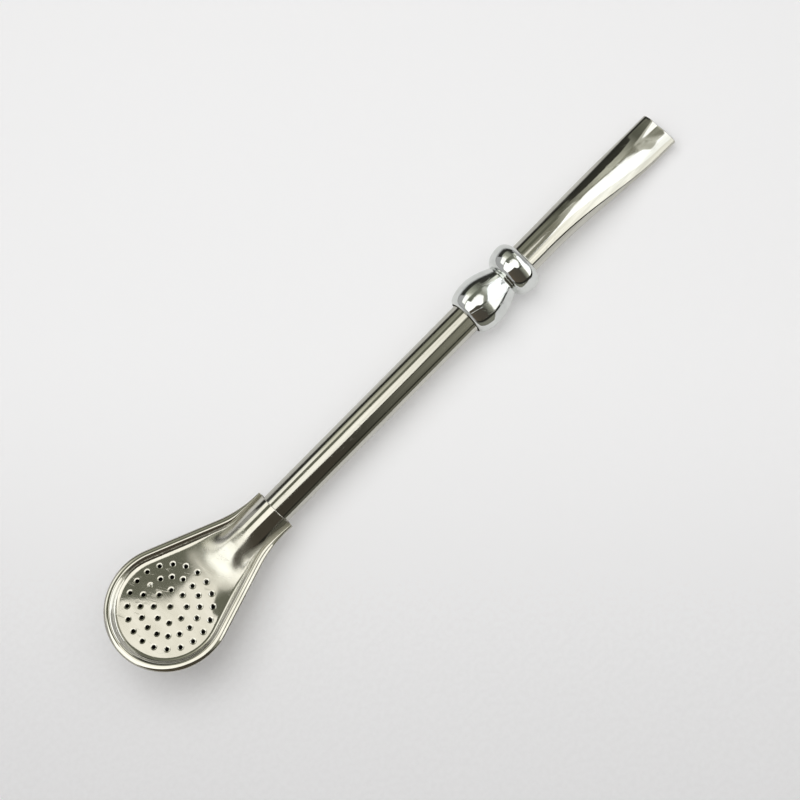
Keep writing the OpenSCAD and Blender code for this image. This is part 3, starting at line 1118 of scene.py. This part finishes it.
paper = {
    "half": 1.6,
    "colour": (0.88, 0.878, 0.878),
    "fibre": (0.85, 0.848, 0.848),
    "fibreSize": 900.0,
    "fibreDetail": 4.0,
    "fibreSpread": (0.3, 0.7),
    "rough": 0.9,
    "glow": (0.2, 0.198, 0.197),     # pale background as the camera and the metal see it
    # dimmer toward -X and -Y: painted light falloff across the paper
    "glowNearShade": (0.075, 0.071, 0.07),
    "glowAlong": (0.709, 0.663, 0.0),
    "glowFrom": -0.05,
    "glowTo": 0.06,
}


def seenRays(tree):
    # 1 for what the camera sees, also in the metal or through glass
    rays = tree.nodes.new("ShaderNodeLightPath")
    seen = mathNode(tree, "ADD", rays.outputs["Is Camera Ray"], rays.outputs["Is Glossy Ray"], True)
    return mathNode(tree, "ADD", seen, rays.outputs["Is Transmission Ray"], True)


def buildFloor():
    h = paper["half"]
    mesh = bpy.data.meshes.new("paper_floor")
    mesh.from_pydata([(-h, -h, 0), (h, -h, 0), (h, h, 0), (-h, h, 0)], [], [(0, 1, 2, 3)])
    floor = bpy.data.objects.new("paper_floor", mesh)
    bpy.context.scene.collection.objects.link(floor)
    material, tree, shader, coordinates = newFinish("palePaper")
    place = coordinates["Object"]
    shader.inputs["Roughness"].default_value = paper["rough"]
    shader.inputs["Specular IOR Level"].default_value = 0.0
    fibre = noiseNode(tree, place, paper["fibreSize"], paper["fibreDetail"])
    fibre = spreadNode(tree, fibre, *paper["fibreSpread"])
    tree.links.new(mixColour(tree, fibre, paper["colour"], paper["fibre"]), shader.inputs["Base Color"])
    # the glow fades toward -X and -Y: painted light falloff
    along = tree.nodes.new("ShaderNodeVectorMath")
    along.operation = "DOT_PRODUCT"
    along.inputs[1].default_value = paper["glowAlong"]
    tree.links.new(place, along.inputs[0])
    far = spreadNode(tree, along.outputs["Value"], paper["glowFrom"], paper["glowTo"])
    glow = mixColour(tree, far, paper["glowNearShade"], paper["glow"])
    glow = mixColour(tree, seenRays(tree), (0.0, 0.0, 0.0), glow)
    tree.links.new(glow, shader.inputs["Emission Color"])
    shader.inputs["Emission Strength"].default_value = 1.0
    mesh.materials.append(material)


buildFloor()


# light: two soft lamps for the paper, and cards that show only in the metal

studio = {
    "cardLevel": 1.42,
    "roomColour": (0.29, 0.29, 0.29),
    "backColour": (0.5, 0.5, 0.5),  # the room as the camera and the metal see it
    "boxes": (
        {"name": "boxKey", "place": (0.03, 0.13, 0.42),
         "aim": (0.06, 0.0, 0.0), "size": (0.4, 0.4), "power": 0.78},
        {"name": "boxFill", "place": (0.2, -0.1, 0.4),
         "aim": (0.06, 0.0, 0.0), "size": (0.5, 0.5), "power": 0.5},
    ),
    "cards": (
        {"name": "boxAbove", "left": (1.18, 1.17, 1.12),
         "corners": ((-0.03, 0.1, 0.46), (0.166, 0.1, 0.46), (0.21, -0.03, 0.46), (0.09, -0.25, 0.46),
                     (-0.03, -0.25, 0.46))},
        {"name": "boxAboveEdge", "left": (1.1, 1.09, 1.03), "right": (0.9, 0.88, 0.82),
         "corners": ((-0.03, 0.14, 0.46), (0.055, 0.143, 0.46), (0.072, 0.166, 0.46), (0.1, 0.141, 0.46),
                     (0.15, 0.148, 0.46), (0.166, 0.1, 0.46), (-0.03, 0.1, 0.46))},
        {"name": "boxSeam", "left": (1.0, 1.0, 0.96),
         "corners": ((-0.046, 0.14, 0.464), (-0.026, 0.14, 0.464), (-0.026, -0.25, 0.464),
                     (-0.046, -0.25, 0.464))},
        {"name": "boxAboveLeft", "left": (1.2, 1.21, 1.18), "right": (1.4, 1.42, 1.38),
         "corners": ((-0.6, 0.28, 0.46), (-0.07, 0.28, 0.46), (-0.042, 0.14, 0.46), (-0.042, -0.25, 0.46),
                     (-0.6, -0.25, 0.46))},
        {"name": "boxFarRight", "left": (1.5, 1.54, 1.6), "right": (1.46, 1.5, 1.56),
         "corners": ((0.205, -0.3, 0.46), (0.24, -0.24, 0.46), (0.31, -0.08, 0.46), (0.375, 0.06, 0.46),
                     (0.5, 0.16, 0.46), (0.8, 0.2, 0.46), (0.8, -0.3, 0.46))},
        {"name": "boxRight", "left": (1.2, 1.19, 1.13), "right": (1.18, 1.22, 1.26),
         "corners": ((0.17, -0.5, 0.02), (0.18, -0.31, 0.36), (0.27, -0.24, 0.46), (0.8, -0.24, 0.46),
                     (0.8, -0.5, 0.02))},
        {"name": "stripLeft", "left": (1.15, 1.15, 1.1), "right": (1.05, 1.05, 0.98),
         "corners": ((-0.2, 0.27, 0.37), (0.045, 0.27, 0.37), (0.045, 0.45, 0.3), (-0.2, 0.45, 0.3))},
        {"name": "stripEdge", "left": (0.85, 0.84, 0.74), "right": (0.36, 0.36, 0.3),
         "corners": ((0.045, 0.27, 0.37), (0.115, 0.265, 0.372), (0.115, 0.45, 0.3), (0.045, 0.45, 0.3))},
        {"name": "greyCard", "left": (0.4, 0.41, 0.34), "right": (0.1, 0.103, 0.084),
         "corners": ((0.05, 0.24, 0.42), (0.33, 0.216, 0.438), (0.33, 0.5, 0.26), (0.05, 0.5, 0.26))},
        {"name": "greyFar", "left": (0.1, 0.103, 0.084), "right": (0.95, 0.96, 0.85),
         "corners": ((0.33, 0.216, 0.438), (0.75, 0.18, 0.465), (0.75, 0.5, 0.26), (0.33, 0.5, 0.26))},
        {"name": "oliveCard", "left": (0.13, 0.135, 0.105), "right": (0.15, 0.155, 0.125),
         "corners": ((-0.03, 0.145, 0.467), (0.3, 0.145, 0.467), (0.3, 0.26, 0.4), (-0.05, 0.26, 0.4))},
        {"name": "tipCard", "left": (0.26, 0.26, 0.21), "right": (0.7, 0.71, 0.66),
         "corners": ((0.24, 0.34, 0.474), (0.42, 0.34, 0.474), (0.42, -0.1, 0.474), (0.24, -0.1, 0.474))},
        {"name": "ceilingCard", "left": (0.27, 0.27, 0.24), "right": (0.26, 0.26, 0.21),
         "corners": ((-0.6, 0.34, 0.48), (0.85, 0.34, 0.48), (0.85, -0.3, 0.48), (-0.6, -0.3, 0.48))},
        {"name": "skirtCard", "left": (0.03, 0.03, 0.027),
         "corners": ((0.0, 0.5, 0.07), (0.75, 0.5, 0.07), (0.75, 0.5, 0.27), (0.0, 0.5, 0.27))},
        {"name": "skirtFar", "left": (0.035, 0.035, 0.03),
         "corners": ((0.36, 0.49, 0.25), (0.75, 0.49, 0.25), (0.75, 0.38, 0.3), (0.46, 0.3, 0.37),
                     (0.36, 0.32, 0.35))},
        {"name": "darkCard", "left": (0.1, 0.08, 0.058), "right": (0.058, 0.052, 0.042),
         "corners": ((-0.5, -0.02, 0.44), (0.0, -0.095, 0.44), (0.06, -0.19, 0.44), (0.06, -0.5, 0.0),
                     (-0.6, -0.5, 0.0))},
        {"name": "dimCard", "left": (0.05, 0.049, 0.04), "right": (0.36, 0.36, 0.3),
         "corners": ((0.06, -0.19, 0.44), (0.18, -0.225, 0.44), (0.17, -0.5, 0.0), (0.06, -0.5, 0.0))},
        {"name": "lintelCard", "left": (0.03, 0.029, 0.024), "right": (0.05, 0.05, 0.042),
         "corners": ((0.06, -0.186, 0.437), (0.18, -0.221, 0.437), (0.18, -0.25, 0.4), (0.06, -0.215, 0.4))},
        # dark sheets lying on the paper, seen only in the metal: painted shade of the floor on the near side
        # of the tube
        {"name": "floorShadeCard", "left": (0.02, 0.02, 0.016), "right": (0.03, 0.03, 0.025),
         "corners": ((-0.6, -0.075, 0.0006), (0.35, -0.075, 0.0006), (0.35, -0.46, 0.0006),
                     (-0.6, -0.46, 0.0006))},
        {"name": "floorShadeNear", "left": (0.04, 0.039, 0.032), "right": (0.2, 0.2, 0.165),
         "corners": ((0.009, -0.018, 0.0006), (0.03, -0.016, 0.0006), (0.0885, -0.016, 0.0006),
                     (0.1, -0.076, 0.0006), (-0.01, -0.076, 0.0006))},
        {"name": "sillCard", "left": (0.012, 0.012, 0.01), "right": (0.02, 0.02, 0.016),
         "corners": ((-0.6, -0.46, 0.0), (0.8, -0.46, 0.0), (0.8, -0.46, 0.05), (-0.6, -0.46, 0.05))},
    ),
}


def addBox(box):
    lamp = bpy.data.lights.new(box["name"], "AREA")
    lamp.shape = "RECTANGLE"
    lamp.size, lamp.size_y = box["size"]
    lamp.energy = box["power"]
    lampObject = bpy.data.objects.new(box["name"], lamp)
    aim = Vector(box["aim"]) - Vector(box["place"])
    turned = aim.to_track_quat("-Z", "Y").to_matrix().to_4x4()
    lampObject.matrix_world = Matrix.Translation(box["place"]) @ turned
    lampObject.visible_camera = lampObject.visible_glossy = False
    bpy.context.scene.collection.objects.link(lampObject)


def addCard(card):
    # one shade, or a shade that runs from the left edge to the right one
    mesh = bpy.data.meshes.new(card["name"])
    mesh.from_pydata(card["corners"], [], [tuple(range(len(card["corners"])))])
    cardObject = bpy.data.objects.new(card["name"], mesh)
    bpy.context.scene.collection.objects.link(cardObject)
    cardObject.visible_camera = cardObject.visible_diffuse = cardObject.visible_shadow = False
    material, tree, shader, coordinates = newFinish(card["name"])
    shader.inputs["Base Color"].default_value = (0.0, 0.0, 0.0, 1.0)
    shader.inputs["Specular IOR Level"].default_value = 0.0
    shader.inputs["Emission Strength"].default_value = studio["cardLevel"]
    shade = card["left"]
    if "right" in card:
        split = tree.nodes.new("ShaderNodeSeparateXYZ")
        tree.links.new(coordinates["Generated"], split.inputs[0])
        shade = mixColour(tree, split.outputs["X"], shade, card["right"])
    feed(tree, shade, shader.inputs["Emission Color"])
    mesh.materials.append(material)


for box in studio["boxes"]:
    addBox(box)
for card in studio["cards"]:
    addCard(card)
world = bpy.data.worlds.new("studioRoom")
bpy.context.scene.world = world
world.use_nodes = True
roomTree = world.node_tree
room = mixColour(roomTree, seenRays(roomTree), studio["roomColour"], studio["backColour"])
roomTree.links.new(room, roomTree.nodes["Background"].inputs["Color"])
print("light set")


# camera, from the fitted view

view = {
    "place": (0.04183, -0.09172, 0.31253),
    "right": (0.70223, -0.69504, -0.15424),
    "up": (0.70891, 0.66262, 0.24163),
    "ahead": (0.06574, 0.27902, -0.95803),
    "lens": 69.84,
    "sensor": 36.0,
    "clip": (0.01, 20.0),
}
cameraData = bpy.data.cameras.new("camera")
cameraData.lens = view["lens"]
cameraData.sensor_width = view["sensor"]
cameraData.clip_start, cameraData.clip_end = view["clip"]
camera = bpy.data.objects.new("camera", cameraData)
bpy.context.scene.collection.objects.link(camera)
back = [-x for x in view["ahead"]]
columns = (view["right"], view["up"], back, view["place"])
camera.matrix_world = Matrix([[part[k] for part in columns] for k in range(3)] + [[0, 0, 0, 1]])
bpy.context.scene.camera = camera
bpy.context.scene.view_settings.view_transform = "Standard"
print("camera set")
